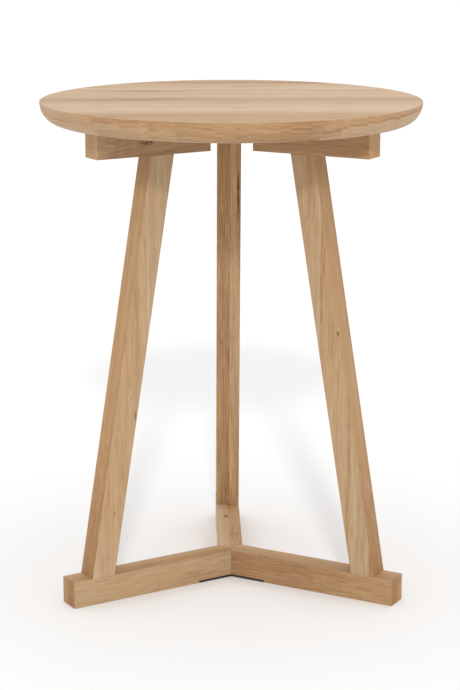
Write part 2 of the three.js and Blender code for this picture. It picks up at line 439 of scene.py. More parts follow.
def oak(
    name, seed, tilt=(0, 0), pith=(40, 30), rings=1.0, figure=1.0, tone=0.0, warm=0.0,
    bands=None, spots=(), ends=None, gloss=0.08,
):
    """Oiled oak whose grain runs along X, or tilted from it by degrees about Y and Z.

    pith is the way from the piece to the tree's centre, in mm along Y and Z. rings and figure set how strong
    the rings and the streaks are.
    """
    tree = Tree(name)
    turn = Euler((0, math.radians(tilt[0]), math.radians(tilt[1]))).to_matrix()
    log = tree.mapped(tree.object_coordinates(), rotation=(0, tilt[0], tilt[1]))
    waver = tree.noise(log, (6, 60, 60), 2.0, 0.5, (seed, 0, 0))
    ragged = tree.noise(log, (90, 220, 220), 2.0, 0.6, (0, 0, seed))
    tones, warms, bends = spot_nodes(tree, log, turn, spots, ragged)
    if bands:
        band_tone, band_warm = bands.nodes(tree, log, waver)
        tones.append(band_tone)
        warms.append(band_warm)
    if ends:
        end_tone, end_warm = end_grain(tree, *ends)
        tones.append(end_tone)
        warms.append(end_warm)
    phase = ring_phase(tree, log, seed, pith, waver, bends)
    pores = pore_nodes(tree, log, seed, phase)
    tones += figure_nodes(tree, log, seed, phase, rings, figure)
    drift = tree.noise(log, (4, 45, 45), 1.0, 0.5, (0, seed, seed))
    total = tree.add(0.5 + tone, tree.scaled(pores, -0.10), *tones)
    warmth = tree.add(0.5 + warm, tree.scaled(drift, 0.22), *warms)
    return oak_finish(tree, total, warmth, pores, phase, gloss)


def end_grain(tree, first, last, tone, warm):
    """The end faces' own tone and warmth, where the piece runs from first to last (mm)."""
    place = tree.parts(tree.object_coordinates())[0]
    near = tree.fade(place, (first + 0.1) * MM, (first + 0.5) * MM, 1.0, 0.0)
    far = tree.fade(place, (last - 0.5) * MM, (last - 0.1) * MM)
    face = tree.add(near, far)
    return tree.scaled(face, tone), tree.scaled(face, warm)


def ring_phase(tree, log, seed, pith, waver, bends):
    """Where a point lies within its growth ring, from 0 at the early wood to 1 at the late."""
    bow = tree.noise(log, (2.5, 10, 10), 1.0, 0.5, (seed, seed, 0))
    from_pith = tree.vector("SUBTRACT", log, (0, pith[0] * MM, pith[1] * MM))
    level = tree.vector("LENGTH", tree.vector("MULTIPLY", from_pith, (0, 1, 1)))
    distance = tree.add(level, tree.scaled(bow, 7 * MM), tree.scaled(waver, 0.8 * MM))
    count = tree.add(tree.math("DIVIDE", distance, RING_WIDTH), *bends)
    return tree.math("FRACT", count)


def pore_nodes(tree, log, seed, phase):
    """Short dark pores along the grain, thickest in the early wood."""
    grains = tree.noise(log, (140, 2400, 2400), 1.0, 0.5, (seed, 0, seed))
    early = tree.fade(phase, 0.5, 0.05, 0.2, 1.0)
    return tree.math("MULTIPLY", tree.fade(grains, 0.2, 0.6), early)


def figure_nodes(tree, log, seed, phase, rings, figure):
    """The tone of the rings, which come and go, and of streaks from broad to hair-fine."""
    ring = tree.ramp(phase, [(0.0, 0.60), (0.12, 0.30), (0.35, 0.50), (0.75, 0.64), (1.0, 0.60)])
    ring = tree.math("SUBTRACT", ring, 0.53)
    strength = tree.fade(tree.noise(log, (5, 50, 50), 1.0, 0.5, (0, seed, 0)), -0.5, 0.6, 0.2, 1.0)
    broad = tree.noise(log, (3, 45, 45), 2.0, 0.5, (0, 0, seed))
    streak = tree.noise(log, (6, 210, 210), 2.0, 0.6, (seed, seed, 0))
    fibre = tree.noise(log, (34, 720, 720), 2.0, 0.6, (0, seed, seed))
    return [
        tree.scaled(tree.math("MULTIPLY", ring, strength), 0.30 * rings),
        tree.scaled(broad, 0.09 * figure),
        tree.scaled(streak, 0.08 * figure),
        tree.scaled(fibre, 0.12),
    ]


def oak_finish(tree, tone, warmth, pores, phase, gloss):
    """Colour, roughness and relief, alike on all the oak."""
    colour = tree.mix(1.0, tree.ramp(tone, OAK), tree.mix(warmth, GREYISH, GOLDEN), "MULTIPLY")
    roughness = tree.fade(pores, 0, 1, 0.46, 0.68)
    height = tree.add(tree.scaled(pores, -1.0), tree.scaled(phase, 0.12))
    normal = tree.bump(height, 0.12 * MM, 0.5)
    return tree.finish(colour, roughness, normal, IOR=1.5, Specular_IOR_Level=gloss)


# ---- Top ----
def rim_profile():
    """(radius, height) points from the underside's edge up the quarter ellipse to the eased top edge."""
    flat = TOP_RADIUS - RIM_UNDERCUT
    depth = TOP_Z - TOP_ARRIS - UNDERSIDE_Z
    points = []
    for step in range(RIM_STEPS + 1):
        turn = math.pi / 2 * (1 - step / RIM_STEPS)
        points.append((flat + RIM_UNDERCUT * math.cos(turn), TOP_Z - TOP_ARRIS - depth * math.sin(turn)))
    for step in range(1, ARRIS_STEPS + 1):
        turn = math.pi / 2 * step / ARRIS_STEPS
        inset = TOP_ARRIS * (1 - math.cos(turn))
        points.append((TOP_RADIUS - inset, TOP_Z - TOP_ARRIS * (1 - math.sin(turn))))
    return points


def disc_bmesh():
    """The whole round top, with material 0 on its flat faces and material 1 on its rim."""
    bm = bmesh.new()
    rings = []
    for radius, height in rim_profile():
        angles = [2 * math.pi * i / RIM_SEGMENTS for i in range(RIM_SEGMENTS)]
        rings.append([bm.verts.new((radius * math.cos(a), radius * math.sin(a), height)) for a in angles])
    for low, high in zip(rings, rings[1:]):
        for i in range(RIM_SEGMENTS):
            j = (i + 1) % RIM_SEGMENTS
            bm.faces.new((low[i], low[j], high[j], high[i])).material_index = 1
    bm.faces.new(rings[-1])
    bm.faces.new(list(reversed(rings[0])))
    return bm


def slice_board(bm, front, back):
    """Keeps what lies between two planes of constant Y, and closes the sawn faces."""
    for y, outward in ((front, -1), (back, 1)):
        geometry = bm.verts[:] + bm.edges[:] + bm.faces[:]
        plane = dict(plane_co=(0, y, 0), plane_no=(0, outward, 0))
        made = bmesh.ops.bisect_plane(bm, geom=geometry, clear_outer=True, **plane)
        rim = [e for e in made["geom_cut"] if isinstance(e, bmesh.types.BMEdge)]
        if rim:
            bmesh.ops.contextual_create(bm, geom=rim)


def board(index, materials):
    """One board of the top, closing up the frame's gap until only a fine glue line is left."""
    node = BOARDS[index]
    low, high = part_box(node)
    closed = (FRAME_GAP - GLUE_GAP) / 2
    front = low.y - (closed if index else MM)
    back = high.y + (closed if index < len(BOARDS) - 1 else MM)
    bm = disc_bmesh()
    slice_board(bm, front, back)
    piece = object_of(bm, f"board_{index + 1}")
    for material in materials:
        piece.data.materials.append(material)
    shade(piece, 30)
    return place(piece, node, None, "oak_top")


# ---- Frame timber ----
def beam_mesh(side):
    """A base beam: mitred to a point at the hub, with a rebate under it for the plate."""
    mitre = math.radians(60)
    setback = GLUE_GAP / 2 / math.sin(mitre)
    shoulder = setback + HALF_WIDTH / math.tan(mitre)
    half = HALF_WIDTH
    plan = [(setback, 0), (shoulder, -half), (BEAM_REACH, -half), (BEAM_REACH, half), (shoulder, half)]
    bm = prism(plan, "z", 0, BEAM_Z)
    ease(bm, along((1, 0, 0)), EDGE_ARRIS, 3)
    ease(bm, at_x(BEAM_REACH), RAIL_END_ARRIS, 2)
    piece = object_of(bm, f"beam_{side}")
    end = PLATE_REACH + FITTING_GAP
    past = 20 * MM  # wider than the beam on each side
    plan = [(-past / 2, -past), (end, -past), (end, past), (-past / 2, past)]
    rebate = prism(plan, "z", -past / 2, PLATE_Z)
    cut(piece, [object_of(rebate, "rebate")])
    piece.matrix_world = arm_matrix(side)
    return piece


def leg_frame(side):
    """The leg's own frame (X up the leg, Z out of its outer face, from where its centreline meets the beam).

    Returns the frame's matrix, the leg's lean, its length and half its depth.
    """
    foot = radii_at("leg_rear", BEAM_Z)
    head = radii_at("leg_rear", BEARER_Z)
    foot_middle, head_middle = sum(foot) / 2, sum(head) / 2
    rise = BEARER_Z - BEAM_Z
    lean = math.atan2(foot_middle - head_middle, rise)
    up = Vector((-math.sin(lean), 0, math.cos(lean)))
    out = Vector((math.cos(lean), 0, math.sin(lean)))
    across = out.cross(up)
    turn = Matrix((up, across, out)).transposed().to_4x4()
    matrix = arm_matrix(side) @ Matrix.Translation((foot_middle, 0, BEAM_Z)) @ turn
    return matrix, lean, rise / math.cos(lean), (foot[1] - foot[0]) * math.cos(lean) / 2


def leg_mesh(side):
    """A leg, with material 1 on its inner and outer faces and material 0 on the rest."""
    matrix, lean, length, half_depth = leg_frame(side)
    slant = half_depth * math.tan(lean)
    inner = [(slant, -half_depth), (length + slant, -half_depth)]
    outer = [(length - slant, half_depth), (-slant, half_depth)]
    bm = prism(inner + outer, "y", -HALF_WIDTH, HALF_WIDTH)
    upright = along((1, 0, 0))
    ease(bm, upright, EDGE_ARRIS, 3)
    ease(bm, lambda e: not upright(e), LEG_END_ARRIS, 1)
    bm.normal_update()
    for face in bm.faces:
        face.material_index = int(abs(face.normal.z) > 0.7)
    return object_of(bm, f"leg_upright_{side}", matrix)


def bore_tool(x, low, high):
    """A cutter for a screw's counterbore, with a small chamfer at its lower mouth."""
    mouth = BORE_RADIUS + BORE_FLARE
    profile = [(0, low - MM), (mouth, low - MM), (mouth, low)]
    profile += [(BORE_RADIUS, low + BORE_FLARE), (BORE_RADIUS, high), (0, high)]
    tool = object_of(turned_mesh(profile, BORE_SEGMENTS), "bore")
    tool.location = (x, 0, 0)
    bpy.context.view_layer.update()
    return tool


def bearer_mesh(side):
    """A bearer, with a counterbore from below for each of its two screws."""
    half = HALF_WIDTH
    plan = [(BEARER_START, -half), (BEARER_END, -half), (BEARER_END, half), (BEARER_START, half)]
    bm = prism(plan, "z", BEARER_Z, UNDERSIDE_Z)
    ease(bm, along((1, 0, 0)), EDGE_ARRIS, 3)
    ease(bm, at_x(BEARER_START, BEARER_END), RAIL_END_ARRIS, 2)
    piece = object_of(bm, f"bearer_rail_{side}")
    tools = []
    for spot in ("inner", "outer"):
        node = f"top_screw_rear_{spot}"
        head_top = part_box(node)[0].z + FRAME_HEAD_HEIGHT
        tools.append(bore_tool(middle_of(node)[1], BEARER_Z, head_top))
    cut(piece, tools)
    piece.matrix_world = arm_matrix(side)
    return piece


# ---- Hardware ----
def hub_plate():
    """The three-armed steel plate, with a countersink under each screw."""
    half = HALF_WIDTH
    notch = half / math.sin(math.pi / 3)
    plan = []
    for degrees in ARMS.values():
        angle = math.radians(degrees)
        turn = Matrix.Rotation(angle, 2)
        plan += [turn @ Vector((PLATE_REACH, -half)), turn @ Vector((PLATE_REACH, half))]
        plan.append(Matrix.Rotation(angle + math.pi / 3, 2) @ Vector((notch, 0)))
    bm = prism([tuple(p) for p in plan], "z", 0, PLATE_Z)
    ease(bm, lambda e: True, PLATE_ARRIS, 1)
    piece = object_of(bm, "three_armed_plate")
    tools = [sink_tool(f"plate_screw_{side}_{spot}") for side in ARMS for spot in ("inner", "outer")]
    bpy.context.view_layer.update()
    cut(piece, tools)
    shade(piece)
    return piece


def sink_tool(screw):
    """A cutter for the countersink and hole round a screw."""
    profile = [(0, -MM), (SINK_MOUTH, -MM), (SINK_RADIUS, SINK_DEPTH)]
    profile += [(SINK_RADIUS, PLATE_Z + MM), (0, PLATE_Z + MM)]
    tool = object_of(turned_mesh(profile, BORE_SEGMENTS), "sink")
    tool.location = (*middle_of(screw), 0)
    return tool


def screw_profile(length, under_head):
    """(radius, height) points of a wood screw standing on its head, close together where its thread is."""
    points = [(0, 0), (HEAD_RADIUS - HEAD_ARRIS, 0), (HEAD_RADIUS, HEAD_ARRIS)]
    points += [(under_head, HEAD_HEIGHT), (SHANK_RADIUS, HEAD_HEIGHT)]
    rings = int((length - HEAD_HEIGHT - POINT_LENGTH) / THREAD_STEP)
    points += [(SHANK_RADIUS, HEAD_HEIGHT + THREAD_STEP * i) for i in range(1, rings)]
    for i in range(POINT_STEPS):
        share = i / POINT_STEPS
        points.append((SHANK_RADIUS * (1 - share), length - POINT_LENGTH + POINT_LENGTH * share))
    return points + [(0, length)]


def threaded(radius, height, angle):
    """The radius of a screw's surface, which is plain up to where the thread starts."""
    if height < THREAD_START:
        return radius
    turn = (height / THREAD_PITCH - angle / (2 * math.pi)) % 1
    return radius * (THREAD_ROOT + (1 - THREAD_ROOT) * (1 - abs(2 * turn - 1)))


def recess_tool(turn):
    """A cutter for one arm of the cross recess, narrower at its bottom."""
    long, wide = RECESS_HALF
    blade = prism([(-long, -wide), (long, -wide), (long, wide), (-long, wide)], "z", -MM, RECESS_DEPTH)
    for v in blade.verts:
        if v.co.z > 0:
            v.co.x *= RECESS_TAPER
    tool = object_of(blade, "blade")
    tool.rotation_euler.z = turn
    return tool


def screw(kind):
    """A screw standing on its head, with its thread cut as a helix and a cross recess in its head."""
    profile = screw_profile(SCREW_LENGTH[kind], UNDER_HEAD_RADIUS[kind])
    piece = object_of(turned_mesh(profile, SCREW_SEGMENTS, threaded), kind)
    tools = [recess_tool(turn) for turn in (0, math.pi / 2)]
    bpy.context.view_layer.update()
    cut(piece, tools)
    shade(piece)
    return piece


def add_screws(kind, material, slot):
    """A copy of the screw in the place of each node of its kind."""
    pattern = screw(kind)
    for side in ARMS:
        for spot in ("inner", "outer"):
            node = f"{kind}_{side}_{spot}"
            copy = bpy.data.objects.new(f"{node}_turned", pattern.data)
            bpy.context.scene.collection.objects.link(copy)
            copy.matrix_world = Matrix.Translation((*middle_of(node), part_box(node)[0].z))
            place(copy, node, material, slot)
    bpy.data.objects.remove(pattern)


def add_hardware():
    """The plate and the screws, and beech on the frame's own dowels."""
    place(hub_plate(), "hub_plate", black_steel(), "black_steel")
    add_screws("plate_screw", black_oxide(), "black_screw")
    add_screws("top_screw", zinc(), "zinc_screw")
    beech = beech_wood()
    for name, node in frame["nodes"].items():
        if "_dowel_" in name:
            node.data.materials.clear()
            node.data.materials.append(beech)


def black_steel():
    """Fine-textured black powder coat."""
    tree = Tree("black_powder_coat")
    where = tree.object_coordinates()
    grain = tree.noise(where, (900, 900, 900), 2.0, 0.6)
    patch = tree.noise(where, (40, 40, 40), 2.0)
    colour = tree.ramp(tree.fade(patch, -1, 1), [(0, 0.012), (1, 0.022)])
    return tree.finish(colour, tree.fade(grain, -0.6, 0.6, 0.5, 0.65), tree.bump(grain, 0.05 * MM, 0.6))


def black_oxide():
    """The thin black coat of the plate's screws, worn lighter in patches."""
    tree = Tree("black_oxide")
    wear = tree.noise(tree.object_coordinates(), (300, 300, 300), 3.0)
    colour = tree.ramp(tree.fade(wear, -0.8, 0.8), [(0, (0.02, 0.02, 0.022)), (1, (0.06, 0.058, 0.055))])
    roughness = tree.fade(wear, -0.7, 0.7, 0.32, 0.5)
    return tree.finish(colour, roughness, tree.bump(wear, 0.02 * MM, 0.5), Metallic=1.0)


def zinc():
    """The dull zinc plate of the top's screws."""
    tree = Tree("zinc_plate")
    spangle = tree.noise(tree.object_coordinates(), (420, 420, 420), 3.0)
    colour = tree.ramp(tree.fade(spangle, -0.8, 0.8), [(0, (0.42, 0.42, 0.41)), (1, (0.62, 0.61, 0.58))])
    roughness = tree.fade(spangle, -0.7, 0.7, 0.28, 0.42)
    return tree.finish(colour, roughness, tree.bump(spangle, 0.02 * MM, 0.4), Metallic=1.0)


def beech_wood():
    """Bare beech with small flecks, its fibre upright."""
    tree = Tree("beech")
    where = tree.object_coordinates()
    fibre = tree.noise(where, (900, 900, 60), 3.0)
    fleck = tree.fade(tree.noise(where, (500, 500, 160), 1.0, 0.5, (3, 1, 2)), 0.25, 0.5)
    tone = tree.add(0.5, tree.scaled(fibre, 0.35), tree.scaled(fleck, -0.3))
    colour = tree.ramp(tone, [(0, (0.42, 0.24, 0.13)), (0.5, (0.60, 0.40, 0.24)), (1, (0.70, 0.51, 0.34))])
    return tree.finish(colour, 0.55, tree.bump(fibre, 0.05 * MM, 0.4))


# ---- Grain of each piece, with painted shade under the top ----
# Bands and spots are placed in mm along a piece's own axes. Their tones and warmths are added to its own.
# Some of them are painted shade from the tabletop, as noted where they stand.
# The side legs were cut with their grain plumb, so it runs out of their leaning front faces.
LEAN = math.degrees(leg_frame("rear")[1])

TOP_BANDS = Bands(1, [
    (-232, 0.06, 0.4), (-205, 0.01, 0.42), (-188, -0.03, 0.5), (-165, -0.05, 0.52), (-148, -0.02, 0.46),
    (-136, 0.07, 0.15), (-126, 0.16, -0.02), (-112, 0.22, -0.06), (-85, 0.22, 0.02), (-70, 0.22, 0.0),
    (-57, 0.19, -0.05), (-55, 0.17, -0.03), (-42, 0.11, 0.0), (-28, 0.07, 0.05), (-14, 0.01, 0.17),
    (4, -0.02, 0.08), (18, 0.0, 0.0), (23, 0.02, 0.04), (25, 0.13, -0.05), (44, 0.17, -0.05),
    (54, 0.10, 0.05), (72, 0.10, 0.08), (82, 0.18, 0.05), (93, 0.11, 0.17), (103, 0.01, 0.3),
    (105, 0.15, 0.05), (125, 0.19, -0.03), (142, 0.12, 0.0), (160, 0.10, 0.13), (183, 0.03, 0.33),
    (185, -0.03, 0.5), (197, -0.12, 0.6), (206, 0.03, 0.3), (232, 0.08, 0.2),
])
TOP_SPOTS = [
    Spot((230, 0, 600), (320, 420, 60), 0.06, 0.14),
    Spot((-230, 60, 600), (260, 380, 60), 0.02, 0.12),
    Spot((-150, -4, 600), (100, 14, 20), -0.07, 0.15),
    Spot((-152, -7, 600), (80, 6, 20), -0.16, 0.3),
    Spot((-95, 3, 600), (64, 9, 20), -0.13, 0.15),
    Spot((-66, 13, 600), (40, 8, 20), -0.11, 0.0),
    Spot((85, -8, 600), (65, 5, 20), -0.07, 0.25),
    Spot((0, -36, 600), (38, 13, 20), -0.12, 0.1, 1.5),
    Spot((130, -40, 600), (32, 12, 20), -0.13, 0.1, 1.0),
    Spot((6, -84, 600), (16, 14, 15), -0.10, 0.05, 1.0),
    Spot((122, -82, 600), (34, 8, 15), -0.08, 0.1),
    Spot((-108, 91, 600), (90, 14, 15), -0.20, 0.1),
    Spot((-92, 98, 600), (66, 8, 15), -0.12, 0.15),
    Spot((18, 100, 600), (60, 4, 15), -0.06, 0.4),
    Spot((115, 99, 600), (90, 4, 15), -0.05, 0.35),
    Spot((70, 88, 600), (110, 5, 15), 0.08, 0.1),
    Spot((103, 147, 600), (20, 13, 15), 0.14, -0.1),
    Spot((146, 120, 600), (60, 9, 15), 0.12, 0.0),
    Spot((-168, 139, 600), (40, 10, 15), -0.15, -0.05),
    Spot((-48, 141, 600), (24, 13, 15), -0.11, -0.1),
    Spot((28, 148, 600), (46, 10, 15), -0.11, -0.05),
    Spot((-5, 197, 600), (120, 7, 15), -0.18, 0.15),
    Spot((112, 192, 600), (80, 13, 15), -0.11, 0.5),
    Spot((-130, 186, 600), (60, 9, 15), -0.09, 0.15),
]


def top_materials():
    """An oak for each board, with the bands and spots that reach it."""
    materials = []
    past_rim = TOP_RADIUS + 3 * MM
    for i, node in enumerate(BOARDS):
        low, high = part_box(node)
        near = [s for s in TOP_SPOTS if low.y < s.centre.y + s.size.y and high.y > s.centre.y - s.size.y]
        front = low.y if i else -past_rim
        back = high.y if i < len(BOARDS) - 1 else past_rim
        bands = TOP_BANDS.between(front / MM, back / MM)
        grain = dict(rings=0.7, figure=0.8, bands=bands, spots=near, gloss=0.5)
        pith = (-40 + 35 * (i % 3), 520 + 60 * (i % 2))
        materials.append(oak(f"oak_board_{i + 1}", 3.1 * i + 1.7, (0.3, 0.4), pith, **grain))
    return materials


# How deep the golden wood reaches down the rim, over the rim's depth, and the rim's tone where it is golden.
# The first number goes from 0 to 1 round the top, anticlockwise from its far left (-X).
RIM_GOLD = [
    (0.0, 0.2), (0.115, 0.2), (0.116, 0.34), (0.161, 0.36), (0.194, 0.44), (0.214, 0.58), (0.228, 0.8),
    (0.242, 1.05), (0.311, 1.05), (0.322, 0.66), (0.339, 0.46), (0.361, 0.38), (0.392, 0.31), (0.43, 0.24),
    (0.5, 0.2), (0.6, 0.5), (0.68, 1.0), (0.78, 0.6), (0.9, 0.3), (1.0, 0.2),
]
RIM_TONE = [
    (0.0, 0.49), (0.122, 0.49), (0.1255, 0.45), (0.17, 0.44), (0.19, 0.42), (0.26, 0.45), (0.285, 0.43),
    (0.31, 0.38), (0.325, 0.41), (0.345, 0.51), (0.45, 0.50), (0.55, 0.46), (0.69, 0.40), (0.72, 0.48),
    (0.88, 0.44), (1.0, 0.50),
]
# The plain stretch before the joint on the left: its tone from the top edge down, 0.5 for no change.
RIM_BEFORE_JOINT = [(0.0, 0.51), (0.3, 0.46), (0.45, 0.44), (0.6, 0.50), (0.8, 0.51), (1.0, 0.62)]
RIM_DEPTH = TOP_Z - UNDERSIDE_Z
RIM_JOINT = (math.radians(-135.15), math.radians(-134.9))
STAVE = 12.5 * MM
STAVE_SLIP = 5 * MM


def stave_nodes(tree, angle, depth):
    """A point's stave, as a number and as a share of the turn, whether it is past the joint, and its level.

    The level is the depth below the top edge, slipped up or down with the stave.
    """
    round_way = tree.scaled(angle, TOP_RADIUS)
    uneven = tree.noise(tree.vector_of(round_way, 0, 0), (22, 1, 1), 1.0)
    stave = tree.math("FLOOR", tree.add(tree.scaled(round_way, 1 / STAVE), tree.scaled(uneven, 0.8)))
    middle = tree.scaled(tree.add(stave, 0.5), STAVE / (2 * math.pi * TOP_RADIUS))
    turn = tree.add(middle, 0.5)
    jointed = tree.fade(angle, *RIM_JOINT, 0.1, 1.0)
    calmer = tree.fade(angle, math.radians(-70), math.radians(-55), 1.0, 0.4)
    slip = tree.math("SUBTRACT", tree.random(stave), 0.5)
    slip = tree.math("MULTIPLY", slip, tree.math("MULTIPLY", jointed, calmer))
    return stave, turn, jointed, tree.add(depth, tree.scaled(slip, STAVE_SLIP))


# Small marks on the rim: ((degrees round from +X, mm below the top), half-sizes in mm, tone).
RIM_MARKS = [
    ((246, 9.2), (6, 1.4), -0.16), ((326, 15.5), (4, 2.6), -0.13), ((341, 11.5), (9, 1.8), -0.10),
    ((207, 10.8), (34, 1.8), -0.11), ((199, 13.0), (12, 1.6), -0.08), ((262, 6.0), (5, 1.2), -0.10),
]


def rim_marks(tree, round_way, depth):
    """What the marks add to the rim's tone."""
    where = tree.vector_of(round_way, depth, 0)
    total = 0.0
    for (degrees, below), (wide, high), tone in RIM_MARKS:
        centre = (math.radians(degrees - 360) * TOP_RADIUS, below * MM, 0)
        offset = tree.vector("DIVIDE", tree.vector("SUBTRACT", where, centre), (wide * MM, high * MM, 1))
        weight = tree.fade(tree.vector("LENGTH", offset), 0.2, 1.0, 1.0, 0.0)
        total = tree.add(tree.scaled(weight, tone), total)
    return total


def rim_lines(tree, angle, depth, round_way):
    """Where the rim is golden, its flow lines and the dark line under the gold on the right.

    With them come each stave's own shade and whether the point is past the joint.
    """
    stave, stave_turn, jointed, level = stave_nodes(tree, angle, depth)
    own = tree.math("SUBTRACT", tree.random(tree.add(stave, 37.5)), 0.5)
    share = tree.parts(tree.ramp(stave_turn, RIM_GOLD))[0]
    gold_depth = tree.math("MULTIPLY", share, tree.scaled(jointed, RIM_DEPTH))
    broad = tree.noise(tree.vector_of(round_way, level, 1), (9, 90, 1), 1.0)
    line = tree.add(tree.math("SUBTRACT", level, gold_depth), tree.scaled(broad, 1.6 * MM))
    flow = tree.noise(tree.vector_of(round_way, line, 0), (10, 330, 1), 2.0, 0.6)
    golden = tree.fade(line, -1.2 * MM, 1.0 * MM, 1.0, 0.0)
    right = tree.fade(angle, math.radians(-72), math.radians(-58))
    edge = tree.math("MULTIPLY", tree.fade(line, -4.5 * MM, -1.5 * MM), golden)
    return golden, flow, tree.math("MULTIPLY", edge, right), own, jointed


def rim_material():
    """The turned rim: short upright staves whose lines slip against each other, golden over paler sapwood."""
    tree = Tree("oak_rim")
    x, y, z = tree.parts(tree.object_coordinates())
    angle = tree.math("ARCTAN2", y, x)
    round_way = tree.scaled(angle, TOP_RADIUS)
    depth = tree.math("SUBTRACT", TOP_Z, z)
    golden, flow, dark_line, own, jointed = rim_lines(tree, angle, depth, round_way)
    turn = tree.fade(angle, -math.pi, math.pi, smooth=False)
    fibre = tree.noise(tree.vector_of(round_way, depth, 2), (90, 1300, 1), 2.0, 0.6)
    before = tree.ramp(tree.scaled(depth, 1 / RIM_DEPTH), RIM_BEFORE_JOINT)
    before = tree.math("MULTIPLY", tree.math("SUBTRACT", before, 0.5), tree.math("SUBTRACT", 1.0, jointed))
    tone = tree.add(
        tree.parts(tree.ramp(turn, RIM_TONE))[0],
        tree.fade(golden, 0.0, 1.0, 0.07, 0.0, smooth=False),
        tree.fade(depth, 10 * MM, 24 * MM, 0.0, -0.07),
        tree.scaled(dark_line, -0.11),
        tree.scaled(own, 0.035),
        tree.scaled(flow, 0.105),
        tree.scaled(fibre, 0.09),
        rim_marks(tree, round_way, depth),
        before,
    )
    warmth = tree.add(
        tree.fade(golden, 0.0, 1.0, 0.53, 0.69, smooth=False),
        tree.fade(depth, 3 * MM, 9 * MM, 0.13, 0.0),
        tree.scaled(dark_line, 0.25),
        tree.scaled(own, 0.08),
        tree.scaled(flow, -0.10),
    )
    return oak_finish(tree, tone, warmth, tree.fade(fibre, 0.1, 0.6), flow, 0.2)


# The plain wood of the leg faces that are seen the least, with painted shade at their heads.
LEG_FLAT = dict(
    tone=-0.01, warm=0.36,
    bands=Bands(1, [
        (-16, -0.02, 0.1), (-12, -0.03, 0.1), (-4, 0.02, 0.0), (2, -0.01, 0.05), (8, 0.02, 0.0),
        (16, 0.0, 0.05),
    ]),
    spots=[
        Spot((0, 0, 0), (190, 60, 60), -0.13, 0.04),
        Spot((340, 0, 0), (150, 60, 60), 0.03, 0.02),
        # Painted shade: darker at the leg's head, under the top.
        Spot((520, 0, 0), (90, 60, 60), -0.06, 0.0),
    ],
)
LEG_GRAIN = {
    "left": dict(
        tilt=(LEAN, 0), pith=(45, 45), rings=0.6, tone=0.025, warm=-0.06,
        bands=Bands(2, [
            (-100, 0.0, -0.1), (-80, 0.04, -0.2), (-68, 0.03, -0.1), (-65, 0.11, -0.1), (-62, -0.02, 0.1),
            (-57, 0.04, 0.0), (-50, -0.02, 0.1), (-38, 0.02, 0.1), (-28, -0.02, 0.1), (-20, 0.0, 0.15),
            (-8, -0.03, 0.15), (2, 0.04, 0.0), (16, 0.05, -0.1),
        ]),
        spots=[
            Spot((20, -15, 0), (110, 30, 40), 0.05, -0.12),
            Spot((80, -15, -2.7), (3.2, 4, 1.7), -0.30, 0.0, 0.8),
            Spot((201, -15, -12.2), (6, 4, 2.0), -0.28, 0.2, 1.2),
            Spot((222, -15, -3.7), (3, 3, 1.6), -0.18, 0.0, 0.5),
            Spot((243, -15, 1.8), (13, 5, 3.4), -0.07, 0.1, 2.2),
            Spot((286, -15, 6), (22, 4, 1.2), -0.12, 0.1),
            Spot((168, -15, 10), (2.2, 3, 1.3), -0.15),
        ]),
    "right": dict(
        tilt=(LEAN, 0), pith=(-45, 45), rings=0.6, tone=-0.015, warm=-0.10,
        bands=Bands(2, [
            (-100, 0.0, -0.1), (-85, 0.04, -0.1), (-72, 0.0, 0.0), (-65, 0.03, -0.1), (-62, 0.12, -0.2),
            (-59.5, -0.06, 0.2), (-56, 0.02, 0.2), (-40, 0.01, 0.25), (-24, 0.02, 0.2), (-20, -0.09, 0.1),
            (-17, 0.04, -0.1), (-8, 0.01, -0.22), (3, 0.03, -0.22), (5, 0.17, -0.15), (7.5, 0.06, 0.0),
            (10, -0.10, 0.3), (16, -0.08, 0.3),
        ]),
        spots=[
            Spot((140, 15, 0), (110, 6, 40), 0.0, -0.16),
            # Painted shade: darker at the leg's head, under the top.
            Spot((560, 15, 0), (70, 6, 40), -0.05, -0.12),
            Spot((300, 15, 13.9), (4.2, 4, 2.6), -0.42, 0.0, 1.0),
            Spot((304, 15, 14.3), (1.5, 3, 1.2), 0.6, -0.5),
            Spot((322, 15, -5), (15, 4, 1.1), -0.16, 0.2),
            Spot((430, 15, 8), (22, 4, 3), -0.05, 0.2, 1.0),
        ]),
    "rear": dict(
        pith=(-30, 70), rings=0.8, tone=-0.05, warm=0.05,
        bands=Bands(1, [
            (-15, -0.03, 0.2), (-11, -0.05, 0.15), (-8, -0.10, 0.1), (-1, -0.07, 0.05), (2.0, -0.14, 0.0),
            (2.6, 0.17, 0.0), (3.6, 0.06, 0.0), (9, 0.03, -0.02), (12, 0.02, 0.05), (15, 0.0, 0.15),
        ]),
        spots=[
            Spot((0, 0, -15), (130, 40, 40), -0.01, -0.08),
            Spot((190, 0, -15), (110, 40, 40), 0.03, -0.05),
            # Painted shade: darker up the leg's upper part, in the shadow under the top.
            Spot((520, 0, -15), (200, 40, 40), -0.07, 0.1),
            Spot((437, 11.3, -15), (38, 1.6, 4), -0.30, 0.1),
            Spot((462, 12, -15), (20, 1.4, 4), -0.25, 0.1),
            Spot((25, -1.5, -15), (18, 3, 5), -0.10, 0.2, 1.2),
            Spot((225, 0.6, -15), (16, 2, 4), -0.12, 0.2, 1.2),
            Spot((240, -10, -15), (3, 1.2, 3), -0.15),
        ]),
}
